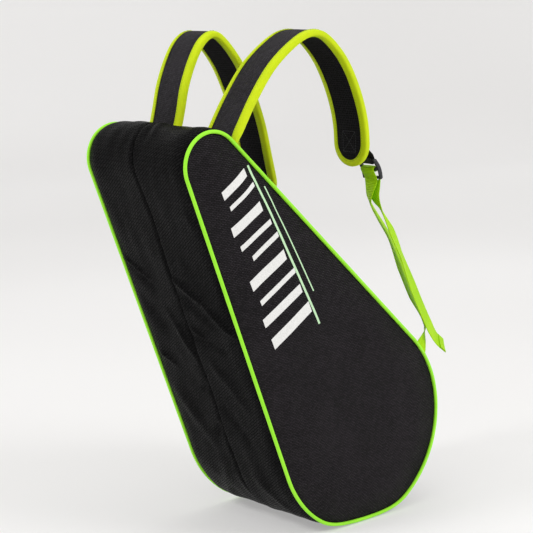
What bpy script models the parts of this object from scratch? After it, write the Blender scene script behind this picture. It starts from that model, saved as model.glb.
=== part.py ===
"""Padded paddle case: a teardrop racket-sport bag with two shoulder straps.

Metres, +Z up, +Y towards the rear panel.  The case leans to the left on its round wide end,
whose base is pressed flat on z = 0.  The rear shell carries the spine, the zip and the straps.
The front lid is hinged on the piping that runs along the spine.

The outline is followed by a station t:  0-1 up the spine, 1-2 round the narrow end,
2-3 down the side that unzips, and 3-4 round the wide end.
"""
import bmesh
import bpy
from math import acos, asin, cos, pi, radians, sin, sqrt
from mathutils import Vector

# ---- Case ---------------------------------------------------------------------------------
CASE_LENGTH = 0.625         # along the leaning axis, before the base settles
CASE_DEPTH = 0.204          # between the two piping centre lines
WIDE_RADIUS = 0.1415
NARROW_RADIUS = 0.0425
LEAN = radians(32.6)        # the axis leans this far to the left of upright
BASE_SETTLE = 0.006         # the round base is pressed flat by this much
WIDE_X = 0.05090            # puts the overall box's middle on x = 0

SKIN = 0.0010               # woven outer fabric
FOAM = 0.0040
LINING = 0.0008
GAP = 0.0003                # between touching pieces
PIPING_RADIUS = 0.0023
PIPING_ROOM = 0.0026        # fabric starts this far from the piping's centre line
PANEL_CROWN = 0.0040        # the panels bulge outwards by this much
SPINE_BULGE = 0.0080        # the spine bulges outwards by this much at its middle

# ---- Where the spine gusset ends and the zipped gusset begins ---------------------------------
SPINE_FOOT = -0.115         # on the wide end
SPINE_HEAD = 1.19           # on the narrow end
ZIP_HEAD = SPINE_HEAD + 0.004
ZIP_FOOT = 4.0 + SPINE_FOOT - 0.001

# ---- Zip, sunk in a channel under the placket ---------------------------------------------------
ZIP_Y = -0.016              # the zip's centre line, towards the front of mid-depth
CHANNEL_HALF = 0.0080       # half the channel's width
TAPE = 0.0008
TEETH_DEPTH = 0.0070        # from the outline in to the teeth
TEETH_HEIGHT = 0.0016
TEETH_NEAR, TEETH_FAR = 0.0013, 0.0032      # from the zip's centre line
SLIDER_T = 2.08             # the slider's place when the case is zipped shut
SLIDER_LENGTH, SLIDER_HALF = 0.014, 0.0045

# ---- Straps -----------------------------------------------------------------------------------
STRAP_HALF = 0.0320         # half the overall width, binding included
STRAP_CENTRE = CASE_DEPTH / 2 - 0.040       # |y| of each strap's centre line
STRAP_ROOT_T = 0.952        # where the straps are sewn to the spine
CORE_HALF = 0.0019          # half the pad's thickness
COVER = 0.0009
BINDING = 0.0008
BINDING_LAP = 0.0090        # the binding's reach over each face
NECK_START, NECK_END = 0.0095, 0.0310       # the pad's neck, along the strap
NECK_HALF = 0.0060
WEBBING_WIDTH = 0.0260
WEBBING = 0.0013
TAB_T = 3.955               # where the lower webbing is sewn into the piping seam

# Strap centre lines from the spine over the top to the rounded tip, as (x, z) from the wide
# end's centre line and the floor.
FRONT_STRAP = ((-0.1960, 0.5258), (-0.1840, 0.5440), (-0.1600, 0.5800), (-0.1265, 0.6200),
               (-0.0860, 0.6490), (-0.0570, 0.6585), (-0.0330, 0.6510), (-0.0040, 0.6210),
               (0.0180, 0.5780), (0.0300, 0.5320), (0.0310, 0.4770))
REAR_STRAP = ((-0.1960, 0.5258), (-0.1850, 0.5420), (-0.1780, 0.5640), (-0.1700, 0.5940),
              (-0.1560, 0.6260), (-0.1390, 0.6500), (-0.1190, 0.6590), (-0.1000, 0.6460),
              (-0.0760, 0.6150), (-0.0570, 0.5750), (-0.0430, 0.5350), (-0.0330, 0.4900),
              (-0.0200, 0.4300))

# Lower webbing from below the buckle to the seam tab, as (x, depth in from the panel, z).
FRONT_STRAND = ((0.0520, 0.0310, 0.4310), (0.0620, 0.0300, 0.4110), (0.0840, 0.0280, 0.3770),
                (0.1000, 0.0255, 0.3390), (0.1180, 0.0220, 0.2930), (0.1310, 0.0180, 0.2640),
                (0.1380, 0.0160, 0.2450))
REAR_STRAND = ((0.0000, 0.0310, 0.3950), (0.0280, 0.0290, 0.3680), (0.0660, 0.0260, 0.3310),
               (0.1000, 0.0220, 0.2920), (0.1270, 0.0180, 0.2610), (0.1380, 0.0160, 0.2450))

# Loose tail of the same webbing, from the buckle down beside the strand to its hemmed end.
FRONT_TAIL = ((0.0650, 0.0310, 0.4370), (0.0740, 0.0300, 0.4160), (0.0970, 0.0280, 0.3770),
              (0.1180, 0.0255, 0.3330), (0.1345, 0.0225, 0.2890), (0.1500, 0.0190, 0.2530),
              (0.1640, 0.0175, 0.2300), (0.1800, 0.0170, 0.2140))
REAR_TAIL = ((0.0100, 0.0310, 0.3990), (0.0360, 0.0290, 0.3750), (0.0740, 0.0260, 0.3400),
             (0.1090, 0.0230, 0.3020), (0.1380, 0.0200, 0.2720), (0.1530, 0.0180, 0.2490),
             (0.1660, 0.0170, 0.2270), (0.1780, 0.0170, 0.2140))

# ---- Ladder-lock buckle -------------------------------------------------------------------------
BUCKLE_WIDTH = 0.0340
BUCKLE_BAR = 0.0050
BUCKLE_SLOT = 0.0080
BUCKLE_RAIL = 0.0035
BUCKLE_THICK = 0.0036
BUCKLE_LENGTH = 3 * BUCKLE_BAR + 2 * BUCKLE_SLOT
BUCKLE_STAND = 0.0190       # out from the strap's tip
WRAP = 0.00110              # webbing's middle to a bar it passes
LIFT = BUCKLE_THICK / 2 + WRAP              # webbing's middle above the buckle's middle

# ---- Colours ------------------------------------------------------------------------------------
BLACK_CLOTH = (0.012, 0.012, 0.013)
PANEL_CLOTH = (0.020, 0.019, 0.021)
STRAP_CLOTH = (0.036, 0.034, 0.040)
FOAM_GREY = (0.55, 0.55, 0.55)
LIME_PIPING = (0.38, 0.83, 0.06)
LIME_BINDING = (0.60, 0.75, 0.02)
LIME_WEBBING = (0.38, 0.62, 0.004)
ZIP_METAL = ("zip_metal", (0.35, 0.35, 0.36), 0.35, 1.0)

# ---- Derived outline ------------------------------------------------------------------------------
AXIS_GAP = CASE_LENGTH - WIDE_RADIUS - NARROW_RADIUS
TAPER = asin((WIDE_RADIUS - NARROW_RADIUS) / AXIS_GAP)
WIDE_CENTRE = Vector((WIDE_X, WIDE_RADIUS - BASE_SETTLE))
NARROW_CENTRE = WIDE_CENTRE + AXIS_GAP * Vector((-sin(LEAN), cos(LEAN)))
SPINE_ANGLE = LEAN + TAPER                  # outward normal of the spine, from +X
SIDE_ANGLE = LEAN + pi - TAPER              # outward normal of the side that unzips
WIDE_SWEEP = SPINE_ANGLE + 2 * pi - SIDE_ANGLE
STEPS = (6, 8, 4, 16)                       # stations on each leg of the outline
FLAT_SWEEP = acos(1 - BASE_SETTLE / WIDE_RADIUS)
FLAT_ENDS = [3 + (1.5 * pi + a - SIDE_ANGLE) / WIDE_SWEEP for a in (-FLAT_SWEEP, FLAT_SWEEP)]


def rim_frame(t):
    """Centre (x, z), radius and outward normal angle of the outline at station t."""
    t %= 4
    leg, part = int(t), t - int(t)
    if leg == 0:
        centre = WIDE_CENTRE.lerp(NARROW_CENTRE, part)
        return centre, WIDE_RADIUS + part * (NARROW_RADIUS - WIDE_RADIUS), SPINE_ANGLE
    if leg == 1:
        return NARROW_CENTRE, NARROW_RADIUS, SPINE_ANGLE + part * (SIDE_ANGLE - SPINE_ANGLE)
    if leg == 2:
        centre = NARROW_CENTRE.lerp(WIDE_CENTRE, part)
        return centre, NARROW_RADIUS + part * (WIDE_RADIUS - NARROW_RADIUS), SIDE_ANGLE
    return WIDE_CENTRE, WIDE_RADIUS, SIDE_ANGLE + part * WIDE_SWEEP


def rim_point(t, inset, y, rise=0.0):
    """Point at station t, moved in from the outline by inset and kept rise off the flat base."""
    centre, radius, angle = rim_frame(t)
    z = centre.y + (radius - inset) * sin(angle)
    return Vector((centre.x + (radius - inset) * cos(angle), y, max(z, inset + rise)))


def rim_normal(t):
    angle = rim_frame(t)[2]
    return Vector((cos(angle), 0, sin(angle)))


def stations(start, stop):
    """Stations from start to stop, with the outline's own between them."""
    marks = [leg + i / STEPS[leg % 4] for leg in range(-1, 5) for i in range(STEPS[leg % 4])]
    marks = sorted(marks + FLAT_ENDS)
    return [start] + [t for t in marks if start + 0.002 < t < stop - 0.002] + [stop]


def spine_bulge(t, y):
    """How far the spine stands out of the outline at station t and depth y."""
    if t > 2:
        t -= 4
    along = (t - SPINE_FOOT) / (SPINE_HEAD - SPINE_FOOT)
    across = 2 * y / CASE_DEPTH
    return SPINE_BULGE * sin(pi * along) * (1 - across * across)


# ---- Mesh helpers -----------------------------------------------------------------------------------
def material(name, colour, roughness=0.8, metallic=0.0):
    """Principled material, made once for each name."""
    if name in bpy.data.materials:
        return bpy.data.materials[name]
    made = bpy.data.materials.new(name)
    made.use_nodes = True
    shader = made.node_tree.nodes["Principled BSDF"]
    shader.inputs["Base Color"].default_value = (*colour, 1)
    shader.inputs["Roughness"].default_value = roughness
    shader.inputs["Metallic"].default_value = metallic
    return made


def add_part(name, bm, finish, parent=None):
    """Turn a bmesh in world coordinates into a named object, hung on its parent empty."""
    bmesh.ops.recalc_face_normals(bm, faces=bm.faces)
    pivot = parent.location.copy() if parent else Vector()
    bmesh.ops.translate(bm, verts=bm.verts, vec=-pivot)
    mesh = bpy.data.meshes.new(name)
    bm.to_mesh(mesh)
    bm.free()
    mesh.materials.append(material(*finish))
    mesh.shade_smooth()
    mesh.set_sharp_from_angle(angle=radians(40))
    part = bpy.data.objects.new(name, mesh)
    bpy.context.collection.objects.link(part)
    part.parent = parent
    return part


def add_pivot(name, place):
    """Empty on a joint's axis, the parent of everything that turns or slides with it."""
    pivot = bpy.data.objects.new(name, None)
    pivot.location = place
    bpy.context.collection.objects.link(pivot)
    return pivot


def join_rings(bm, rings, closed=False):
    """Skin rings of equal length; an open run is capped at both ends.

    The sides are split into triangles, and the second half of a ring splits the other way, so
    that a layer's inner face and the outer face of the layer under it bend alike.
    """
    loops = [[bm.verts.new(point) for point in ring] for ring in rings]
    for a, b in zip(loops, loops[1:] + loops[:1] if closed else loops[1:]):
        for i in range(len(a)):
            j = (i + 1) % len(a)
            if i < len(a) // 2:
                halves = (a[i], a[j], b[j]), (a[i], b[j], b[i])
            else:
                halves = (a[i], a[j], b[i]), (a[j], b[j], b[i])
            for corners in halves:
                bm.faces.new(corners)
    if not closed:
        bm.faces.new(loops[0])
        bm.faces.new(loops[-1])
    return bm


def sweep(section, marks, closed=False):
    """Body swept along the outline; section(t) lists its corners as (inset, y)."""
    rings = [[rim_point(t, inset, y) for inset, y in section(t)] for t in marks]
    return join_rings(bmesh.new(), rings, closed)


def strip(inset, thick, y0, y1, marks):
    """Flat band that follows the outline between depths y0 and y1."""
    corners = ((inset, y0), (inset, y1), (inset + thick, y1), (inset + thick, y0))
    return sweep(lambda t: corners, marks)


# ---- Panels and piping --------------------------------------------------------------------------------
def panel_layer(side, start, thick, edge):
    """One layer of a crowned panel, starting start inwards of its outer face."""
    crown = ((edge, 0.0), (0.014, 0.6 * PANEL_CROWN), (0.030, PANEL_CROWN))
    outer = [(inset, out - start) for inset, out in reversed(crown)]
    inner = [(inset, out - start - thick) for inset, out in crown]
    marks = stations(0, 4)[:-1]
    rise = PIPING_RADIUS + GAP
    rings = [[rim_point(t, inset, side * (CASE_DEPTH / 2 + out), rise) for t in marks]
             for inset, out in outer + inner]
    return join_rings(bmesh.new(), rings)


def add_panel(name, side, parent):
    add_part(name, panel_layer(side, 0, SKIN, PIPING_ROOM), ("panel_cloth", PANEL_CLOTH), parent)
    depth = SKIN + GAP
    inner_edge = SKIN + FOAM + LINING + 3 * GAP + 0.0005
    add_part(name + "_foam", panel_layer(side, depth, FOAM, inner_edge),
             ("foam", FOAM_GREY), parent)
    depth += FOAM + GAP
    add_part(name + "_lining", panel_layer(side, depth, LINING, inner_edge + 0.0005),
             ("lining", BLACK_CLOTH), parent)


def add_piping(name, side, parent):
    """Round cord all round the panel's seam, raised where the base is flat."""
    rings = []
    for t in stations(0, 4)[:-1]:
        centre = rim_point(t, 0, side * CASE_DEPTH / 2)
        centre.z = max(centre.z, PIPING_RADIUS + GAP)
        normal = rim_normal(t)
        turns = [2 * pi * i / 6 for i in range(6)]
        rings.append([centre + PIPING_RADIUS * (cos(a) * normal + sin(a) * Vector((0, 1, 0)))
                      for a in turns])
    add_part(name, join_rings(bmesh.new(), rings, closed=True), ("piping", LIME_PIPING, 0.5), parent)


# ---- Gussets ----------------------------------------------------------------------------------------------
def add_gusset(name, y0, y1, parent):
    """Zipped gusset half: fabric, foam and lining between depths y0 and y1."""
    marks = stations(ZIP_HEAD, ZIP_FOOT)
    add_part(name, strip(0, SKIN, y0, y1, marks), ("gusset_cloth", BLACK_CLOTH), parent)
    inset = SKIN + GAP
    add_part(name + "_foam", strip(inset, FOAM, y0, y1, marks), ("foam", FOAM_GREY), parent)
    inset += FOAM + GAP
    add_part(name + "_lining", strip(inset, LINING, y0, y1, marks), ("lining", BLACK_CLOTH), parent)


def add_spine():
    """Full-depth gusset along the spine, bulged outwards, with its foam and lining."""
    edge = CASE_DEPTH / 2 - PIPING_ROOM
    depths = [edge * i / 3 for i in range(-3, 4)]
    marks = stations(SPINE_FOOT, SPINE_HEAD)

    def layer(inset, thick):
        def section(t):
            outer = [(inset - spine_bulge(t, y), y) for y in depths]
            return outer + [(o + thick, y) for o, y in reversed(outer)]
        return sweep(section, marks)

    add_part("spine_gusset", layer(0, SKIN), ("gusset_cloth", BLACK_CLOTH))
    add_part("spine_foam", layer(SKIN + GAP, FOAM), ("foam", FOAM_GREY))
    add_part("spine_lining", layer(SKIN + FOAM + 2 * GAP, LINING), ("lining", BLACK_CLOTH))


# ---- Zip --------------------------------------------------------------------------------------------------
def add_zip_side(name, side, parent):
    """Tape folded down into the channel, and the row of teeth on its edge."""
    wall = CHANNEL_HALF - GAP
    top, floor = SKIN + GAP, TEETH_DEPTH + 0.0005
    corners = [(top, wall), (top, wall - TAPE), (floor, wall - TAPE), (floor, TEETH_FAR + GAP),
               (floor + TAPE, TEETH_FAR + GAP), (floor + TAPE, wall)]
    corners = [(inset, ZIP_Y + side * out) for inset, out in corners]
    marks = stations(ZIP_HEAD, ZIP_FOOT)
    add_part("zip_tape_" + name, sweep(lambda t: corners, marks), ("zip_tape", BLACK_CLOTH), parent)
    ends = stations(ZIP_HEAD + 0.06, ZIP_FOOT - 0.02)
    teeth = strip(TEETH_DEPTH, TEETH_HEIGHT, ZIP_Y + side * TEETH_NEAR, ZIP_Y + side * TEETH_FAR, ends)
    add_part("zip_teeth_" + name, teeth, ("zip_teeth", (0.03, 0.03, 0.03), 0.4), parent)


def add_zip_stops():
    """Metal stops that close the zip's two ends."""
    bottom = TEETH_DEPTH + TEETH_HEIGHT
    corners = [(inset, ZIP_Y + y) for inset, y in
               ((TEETH_DEPTH, -0.003), (TEETH_DEPTH, 0.003), (bottom, 0.003), (bottom, -0.003))]
    for name, start, stop in (("zip_top_stop", ZIP_HEAD + 0.020, ZIP_HEAD + 0.055),
                              ("zip_bottom_stop", ZIP_FOOT - 0.017, ZIP_FOOT - 0.009)):
        add_part(name, sweep(lambda t: corners, (start, stop)), ZIP_METAL)


def add_slider():
    """Slider with a flange above and below the teeth, and its pull lying under the placket."""
    centre = rim_point(SLIDER_T, 0, ZIP_Y)
    normal = rim_normal(SLIDER_T)
    along = Vector((-normal.z, 0, normal.x))        # down the side, away from the narrow end
    pivot = add_pivot("zip_slider_axis", centre)

    def bar(section, start, stop):
        rings = [[centre + a * along - inset * normal + Vector((0, y, 0)) for inset, y in section]
                 for a in (start, stop)]
        return join_rings(bmesh.new(), rings)

    top, bottom, web = 0.0042, 0.0112, TEETH_NEAR - GAP
    above, below = TEETH_DEPTH - 0.0015, TEETH_DEPTH + TEETH_HEIGHT + 0.0015
    half = SLIDER_HALF
    beam = ((top, -half), (top, half), (above, half), (above, web), (below, web), (below, half),
            (bottom, half), (bottom, -half), (below, -half), (below, -web), (above, -web),
            (above, -half))
    add_part("zip_slider", bar(beam, -SLIDER_LENGTH / 2, SLIDER_LENGTH / 2), ZIP_METAL, pivot)
    tab = ((0.0022, -0.004), (0.0022, 0.004), (0.0036, 0.004), (0.0036, -0.004))
    add_part("zip_pull", bar(tab, -0.004, 0.026), ZIP_METAL, pivot)


# ---- Straps ------------------------------------------------------------------------------------------------
def smooth_line(points, count):
    """Count + 1 evenly spaced points on a Catmull-Rom curve through the points."""
    points = [Vector(p) for p in points]
    points = [2 * points[0] - points[1]] + points + [2 * points[-1] - points[-2]]
    fine = []
    for a, b, c, d in zip(points, points[1:], points[2:], points[3:]):
        for i in range(24):
            u = i / 24
            fine.append(0.5 * (2 * b + (c - a) * u + (2 * a - 5 * b + 4 * c - d) * u * u
                               + (3 * b - a - 3 * c + d) * u ** 3))
    fine.append(points[-2])
    reach = [0.0]
    for a, b in zip(fine, fine[1:]):
        reach.append(reach[-1] + (b - a).length)
    even, j = [], 0
    for i in range(count + 1):
        want = reach[-1] * i / count
        while j < len(reach) - 2 and reach[j + 1] < want:
            j += 1
        even.append(fine[j].lerp(fine[j + 1], (want - reach[j]) / (reach[j + 1] - reach[j])))
    return even, reach[-1]


class StrapCurve:
    """Maps a strap's flat pattern (along, across, out of its face) onto its curve."""

    def __init__(self, points, side):
        shifted = [(x + WIDE_X, z) for x, z in points]
        self.line, self.length = smooth_line(shifted, 160)
        self.side = side

    def place(self, along, across, out):
        position = min(max(along / self.length, 0), 1) * (len(self.line) - 1)
        i = min(int(position), len(self.line) - 2)
        point = self.line[i].lerp(self.line[i + 1], position - i)
        tangent = (self.line[min(i + 2, len(self.line) - 1)] - self.line[max(i - 1, 0)]).normalized()
        point = point + out * Vector((-tangent.y, tangent.x))
        return Vector((point.x, self.side * STRAP_CENTRE + across, point.y))


def strap_half(curve, along, edge):
    """Half-width of a strap piece whose edge lies edge inside the binding's outer edge."""
    past = along - (curve.length - STRAP_HALF)
    radius = STRAP_HALF - edge
    if past <= 0:
        return radius
    return sqrt(max(radius * radius - past * past, 0.002 ** 2))


def strap_steps(curve, start, edge):
    """Places along a strap, closer together round its tip."""
    straight = curve.length - STRAP_HALF
    steps = [start + (straight - start) * i / 16 for i in range(17)]
    radius = STRAP_HALF - edge
    return steps + [straight + radius * sin(radians(a)) for a in (25, 45, 62, 77, 88)]


def add_strap_layer(name, curve, start, low, high, finish, parent, neck=False):
    """Layer of a strap between two distances from its middle surface."""
    edge = BINDING + GAP
    steps = strap_steps(curve, NECK_END if neck else start, edge)
    widths = [strap_half(curve, s, edge) for s in steps]
    if neck:
        steps.insert(0, NECK_START)
        widths.insert(0, NECK_HALF)
    rings = [[curve.place(s, w, h) for w, h in ((-half, low), (half, low), (half, high), (-half, high))]
             for s, half in zip(steps, widths)]
    add_part(name, join_rings(bmesh.new(), rings), finish, parent)


def add_binding(name, curve, start, parent):
    """Folded tape that wraps the strap's edge from one side of its neck round the tip."""
    inner = CORE_HALF + GAP + COVER + GAP
    outer = inner + BINDING
    section = ((0, -outer), (BINDING_LAP, -outer), (BINDING_LAP, -inner), (BINDING, -inner),
               (BINDING, inner), (BINDING_LAP, inner), (BINDING_LAP, outer), (0, outer))
    straight = curve.length - STRAP_HALF
    run = [start + (straight - start) * i / 16 for i in range(16)]
    rings = []
    for s in run:
        rings.append([curve.place(s, e - STRAP_HALF, h) for e, h in section])
    for turn in range(0, 181, 15):
        a = radians(turn)
        rings.append([curve.place(straight + (STRAP_HALF - e) * sin(a), -(STRAP_HALF - e) * cos(a), h)
                      for e, h in section])
    for s in reversed(run):
        rings.append([curve.place(s, STRAP_HALF - e, h) for e, h in section])
    add_part(name, join_rings(bmesh.new(), rings), ("binding", LIME_BINDING, 0.55), parent)


def ribbon(points, width, thick, sides):
    """Flat webbing along the points; sides gives each point's unit vector across the width."""
    rings = []
    for i, point in enumerate(points):
        along = (points[min(i + 1, len(points) - 1)] - points[max(i - 1, 0)]).normalized()
        across = (sides[i] - sides[i].dot(along) * along).normalized()
        out = along.cross(across) * thick / 2
        half = across * (width(i / (len(points) - 1)) / 2)
        rings.append([point - half - out, point + half - out, point + half + out, point - half + out])
    return join_rings(bmesh.new(), rings)


def case_point(x, depth, z, side):
    """World point from a webbing table's entry."""
    return Vector((x + WIDE_X, side * (CASE_DEPTH / 2 - depth), z))


class BuckleFrame:
    """The buckle's own directions: down its length and out of its plane."""

    def __init__(self, curve, strand, side):
        tip = curve.place(curve.length, 0, 0)
        foot = case_point(*strand[0], side)
        self.down = Vector((foot.x - tip.x, 0, foot.z - tip.z)).normalized()
        self.out = Vector((-self.down.z, 0, self.down.x))
        self.top = Vector((tip.x, foot.y, tip.z)) + BUCKLE_STAND * self.out - 0.0020 * self.down

    def place(self, along, rise, across=0.0):
        return self.top + along * self.down + rise * self.out + Vector((0, across, 0))


def add_buckle(name, frame, parent):
    """Moulded frame with three cross bars."""
    rows = [0.0]
    for step in (BUCKLE_BAR, BUCKLE_SLOT, BUCKLE_BAR, BUCKLE_SLOT, BUCKLE_BAR):
        rows.append(rows[-1] + step)
    half = BUCKLE_WIDTH / 2
    columns = (-half, -half + BUCKLE_RAIL, half - BUCKLE_RAIL, half)
    bm = bmesh.new()
    corner = {}
    for level in (0, 1):
        for r, along in enumerate(rows):
            for c, across in enumerate(columns):
                rise = (level - 0.5) * BUCKLE_THICK
                corner[level, r, c] = bm.verts.new(frame.place(along, rise, across))
    solid = {(r, c) for r in range(5) for c in range(3) if c != 1 or r % 2 == 0}
    for r, c in solid:
        for level in (0, 1):
            bm.faces.new([corner[level, r + i, c + j] for i, j in ((0, 0), (1, 0), (1, 1), (0, 1))])
        for dr, dc, ends in ((-1, 0, ((0, 0), (0, 1))), (1, 0, ((1, 0), (1, 1))),
                             (0, -1, ((0, 0), (1, 0))), (0, 1, ((0, 1), (1, 1)))):
            if (r + dr, c + dc) not in solid:
                (i, j), (k, m) = ends
                bm.faces.new([corner[0, r + i, c + j], corner[0, r + k, c + m],
                              corner[1, r + k, c + m], corner[1, r + i, c + j]])
    add_part(name, bm, ("buckle_plastic", (0.02, 0.02, 0.022), 0.45), parent)


def add_buckle_loop(name, curve, frame, parent):
    """Short webbing sewn on the strap's outer face and folded round the buckle's top bar."""
    face = CORE_HALF + 2 * GAP + COVER + BINDING + GAP + WEBBING / 2
    line = [curve.place(curve.length - s, 0, face) for s in (0.055, 0.040, 0.028)]
    line = [Vector((p.x, frame.top.y, p.z)) for p in line]
    clear = BUCKLE_BAR + WRAP
    for along, rise in ((-0.005, LIFT), (clear - WRAP, LIFT), (clear, LIFT - WRAP),
                        (clear, WRAP - LIFT), (clear - WRAP, -LIFT), (-0.003, -LIFT)):
        line.append(frame.place(along, rise))
    sides = [Vector((0, 1, 0))] * len(line)
    width = BUCKLE_WIDTH - 2 * BUCKLE_RAIL - 2 * GAP
    add_part(name, ribbon(line, lambda f: width, WEBBING, sides), ("loop_webbing", BLACK_CLOTH), parent)


def strand_line(frame, strand, side):
    """Strand's route: seam end, up to the buckle, over its middle bar and back down."""
    top = BUCKLE_BAR + BUCKLE_SLOT              # the middle bar's upper edge
    under = -LIFT - WEBBING - 2 * GAP
    low = [case_point(*p, side) for p in reversed(strand)]
    low += [frame.place(BUCKLE_LENGTH, under), frame.place(top + 0.0050, under)]
    wrap = ((top + 0.0011, under), (top - 0.0008, -LIFT - 0.0005), (top - WRAP, WRAP - LIFT),
            (top - WRAP, LIFT - WRAP), (top, LIFT), (top + BUCKLE_BAR, LIFT),
            (top + BUCKLE_BAR + WRAP, LIFT - WRAP), (top + BUCKLE_BAR + WRAP, -0.0006))
    return smooth_line(low, 28)[0] + [frame.place(along, rise) for along, rise in wrap]


def strand_sides(count, seam):
    """Across-direction of each strand point, a quarter twist between seam end and buckle."""
    sides = []
    for i in range(count):
        f = min(i / count / 0.22, 1)
        sides.append(seam.lerp(Vector((0, 1, 0)), f * f * (3 - 2 * f)).normalized())
    return sides


def add_strap(name, side, points, strand, tail):
    """Whole strap, hung on a pivot at its upper seam."""
    curve = StrapCurve(points, side)
    root = curve.place(0, 0, 0)
    pivot = add_pivot(name + "_axis", root)
    add_root_patch(name, side)
    core = CORE_HALF
    add_strap_layer(name + "_pad", curve, 0, -core, core, ("foam", FOAM_GREY), pivot, neck=True)
    face = core + GAP
    add_strap_layer(name + "_cover", curve, NECK_END, face, face + COVER,
                    ("strap_cloth", STRAP_CLOTH), pivot)
    add_strap_layer(name + "_mesh", curve, NECK_END, -face - COVER, -face,
                    ("air_mesh", BLACK_CLOTH), pivot)
    add_binding(name + "_binding", curve, NECK_END, pivot)

    frame = BuckleFrame(curve, strand, side)
    add_buckle(name + "_buckle", frame, pivot)
    add_buckle_loop(name + "_buckle_loop", curve, frame, pivot)
    line = strand_line(frame, strand, side)
    seam = rim_normal(TAB_T).cross(Vector((0, 1, 0)))
    add_part(name + "_webbing",
             ribbon(line, lambda f: WEBBING_WIDTH * min(1, 0.35 + 2.4 * f), WEBBING,
                    strand_sides(len(line), seam)), ("webbing", LIME_WEBBING, 0.6), pivot)
    add_seam_tab(name, side, line[0], seam)
    add_tail(name, side, tail, frame)


def add_root_patch(name, side):
    """Reinforcing patch that sews the strap's end to the spine."""
    low, high = side * STRAP_CENTRE - STRAP_HALF, side * STRAP_CENTRE + STRAP_HALF
    depths = [low + (high - low) * i / 4 for i in range(5)]

    def section(t):
        base = [(-spine_bulge(t, y) - 0.0008, y) for y in depths]
        return base + [(o - 0.0018, y) for o, y in reversed(base)]
    marks = [STRAP_ROOT_T + 0.012 * i for i in (-2, -1, 0, 1, 2)]
    add_part(name + "_root", sweep(section, marks), ("strap_cloth", STRAP_CLOTH))


def add_seam_tab(name, side, end, seam):
    """Webbing sewn into the piping seam, gathered towards the strand it carries."""
    start = rim_point(TAB_T, -0.0030, side * (CASE_DEPTH / 2 - 0.0045))
    stop = end + 0.0065 * (start - end).normalized()
    line = [start.lerp(stop, i / 4) for i in range(5)]
    bm = ribbon(line, lambda f: WEBBING_WIDTH * (1 - 0.62 * f), WEBBING, [seam] * 5)
    add_part(name + "_seam_tab", bm, ("webbing", LIME_WEBBING, 0.6))


def add_tail(name, side, tail, frame):
    """Loose end of the webbing, with a doubled hem, hung on a pivot under the buckle."""
    start = frame.place(BUCKLE_LENGTH + 0.0012, -0.0015)
    line = smooth_line([start] + [case_point(*p, side) for p in tail], 24)[0]
    pivot = add_pivot(name + "_tail_axis", line[0])
    sides = [Vector((0, 1, 0))] * len(line)
    bm = ribbon(line, lambda f: WEBBING_WIDTH, WEBBING, sides)
    add_part(name + "_tail", bm, ("webbing", LIME_WEBBING, 0.6), pivot)


def report_pivots():
    """Print where the joints are, for whoever writes the assembly's record."""
    for thing in bpy.data.objects:
        if thing.type == "EMPTY":
            print("pivot", thing.name, [round(v, 5) for v in thing.location])


def main():
    for thing in list(bpy.data.objects):
        bpy.data.objects.remove(thing, do_unlink=True)
    front, rear = -1, 1
    lid = add_pivot("lid_axis", rim_point(0, 0, front * CASE_DEPTH / 2))
    add_panel("front_panel", front, lid)
    add_piping("front_piping", front, lid)
    add_panel("rear_panel", rear, None)
    add_piping("rear_piping", rear, None)

    edge = CASE_DEPTH / 2 - PIPING_ROOM
    add_gusset("front_gusset", -edge, ZIP_Y - CHANNEL_HALF - 2 * GAP, lid)
    add_gusset("rear_gusset", ZIP_Y + CHANNEL_HALF + 2 * GAP, edge, None)
    add_spine()
    marks = stations(ZIP_HEAD, ZIP_FOOT)
    flap = strip(0, SKIN, ZIP_Y - CHANNEL_HALF - GAP, ZIP_Y + CHANNEL_HALF + GAP, marks)
    add_part("placket", flap, ("gusset_cloth", BLACK_CLOTH), lid)
    add_zip_side("front", front, lid)
    add_zip_side("rear", rear, None)
    add_zip_stops()
    add_slider()
    add_strap("front_strap", front, FRONT_STRAP, FRONT_STRAND, FRONT_TAIL)
    add_strap("rear_strap", rear, REAR_STRAP, REAR_STRAND, REAR_TAIL)
    bpy.context.view_layer.update()
    report_pivots()


main()
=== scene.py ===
"""Looks of the padded paddle case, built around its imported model.

Metres, in the model's frame.  The case's outline is followed by a station t: 0-1 up the spine,
1-2 round the narrow end, 2-3 down the side that unzips, 3-4 round the wide end.  Cloth is a
Sheet: a grid of points with weave coordinates in metres, from which solid layers are cut.
"""
from itertools import accumulate, product
from math import asin, cos, exp, pi, radians, sin, sqrt

import bmesh
import bpy
import numpy as np
from mathutils import Matrix, Vector, noise


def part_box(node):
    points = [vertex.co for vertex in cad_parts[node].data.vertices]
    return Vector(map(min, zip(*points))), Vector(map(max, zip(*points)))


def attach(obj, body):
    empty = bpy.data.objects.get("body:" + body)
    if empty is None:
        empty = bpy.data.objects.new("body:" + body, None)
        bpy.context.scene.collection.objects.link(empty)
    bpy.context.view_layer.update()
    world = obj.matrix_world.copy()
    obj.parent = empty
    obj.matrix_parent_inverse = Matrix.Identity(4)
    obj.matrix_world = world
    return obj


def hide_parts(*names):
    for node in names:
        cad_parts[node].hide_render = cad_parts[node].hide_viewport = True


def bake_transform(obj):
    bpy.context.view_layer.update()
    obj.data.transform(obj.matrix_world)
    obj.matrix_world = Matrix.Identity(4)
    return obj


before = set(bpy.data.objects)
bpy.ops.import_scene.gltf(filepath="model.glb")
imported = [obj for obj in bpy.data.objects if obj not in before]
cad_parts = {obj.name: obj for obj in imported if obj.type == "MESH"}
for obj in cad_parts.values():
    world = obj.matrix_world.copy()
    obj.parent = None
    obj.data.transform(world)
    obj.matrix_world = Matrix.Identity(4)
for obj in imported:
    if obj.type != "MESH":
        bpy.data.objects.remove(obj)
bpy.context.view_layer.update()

# ---- The case's driving sizes, as in the model ----
PIPE_LOW, PIPE_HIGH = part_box("rear_piping")
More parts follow.
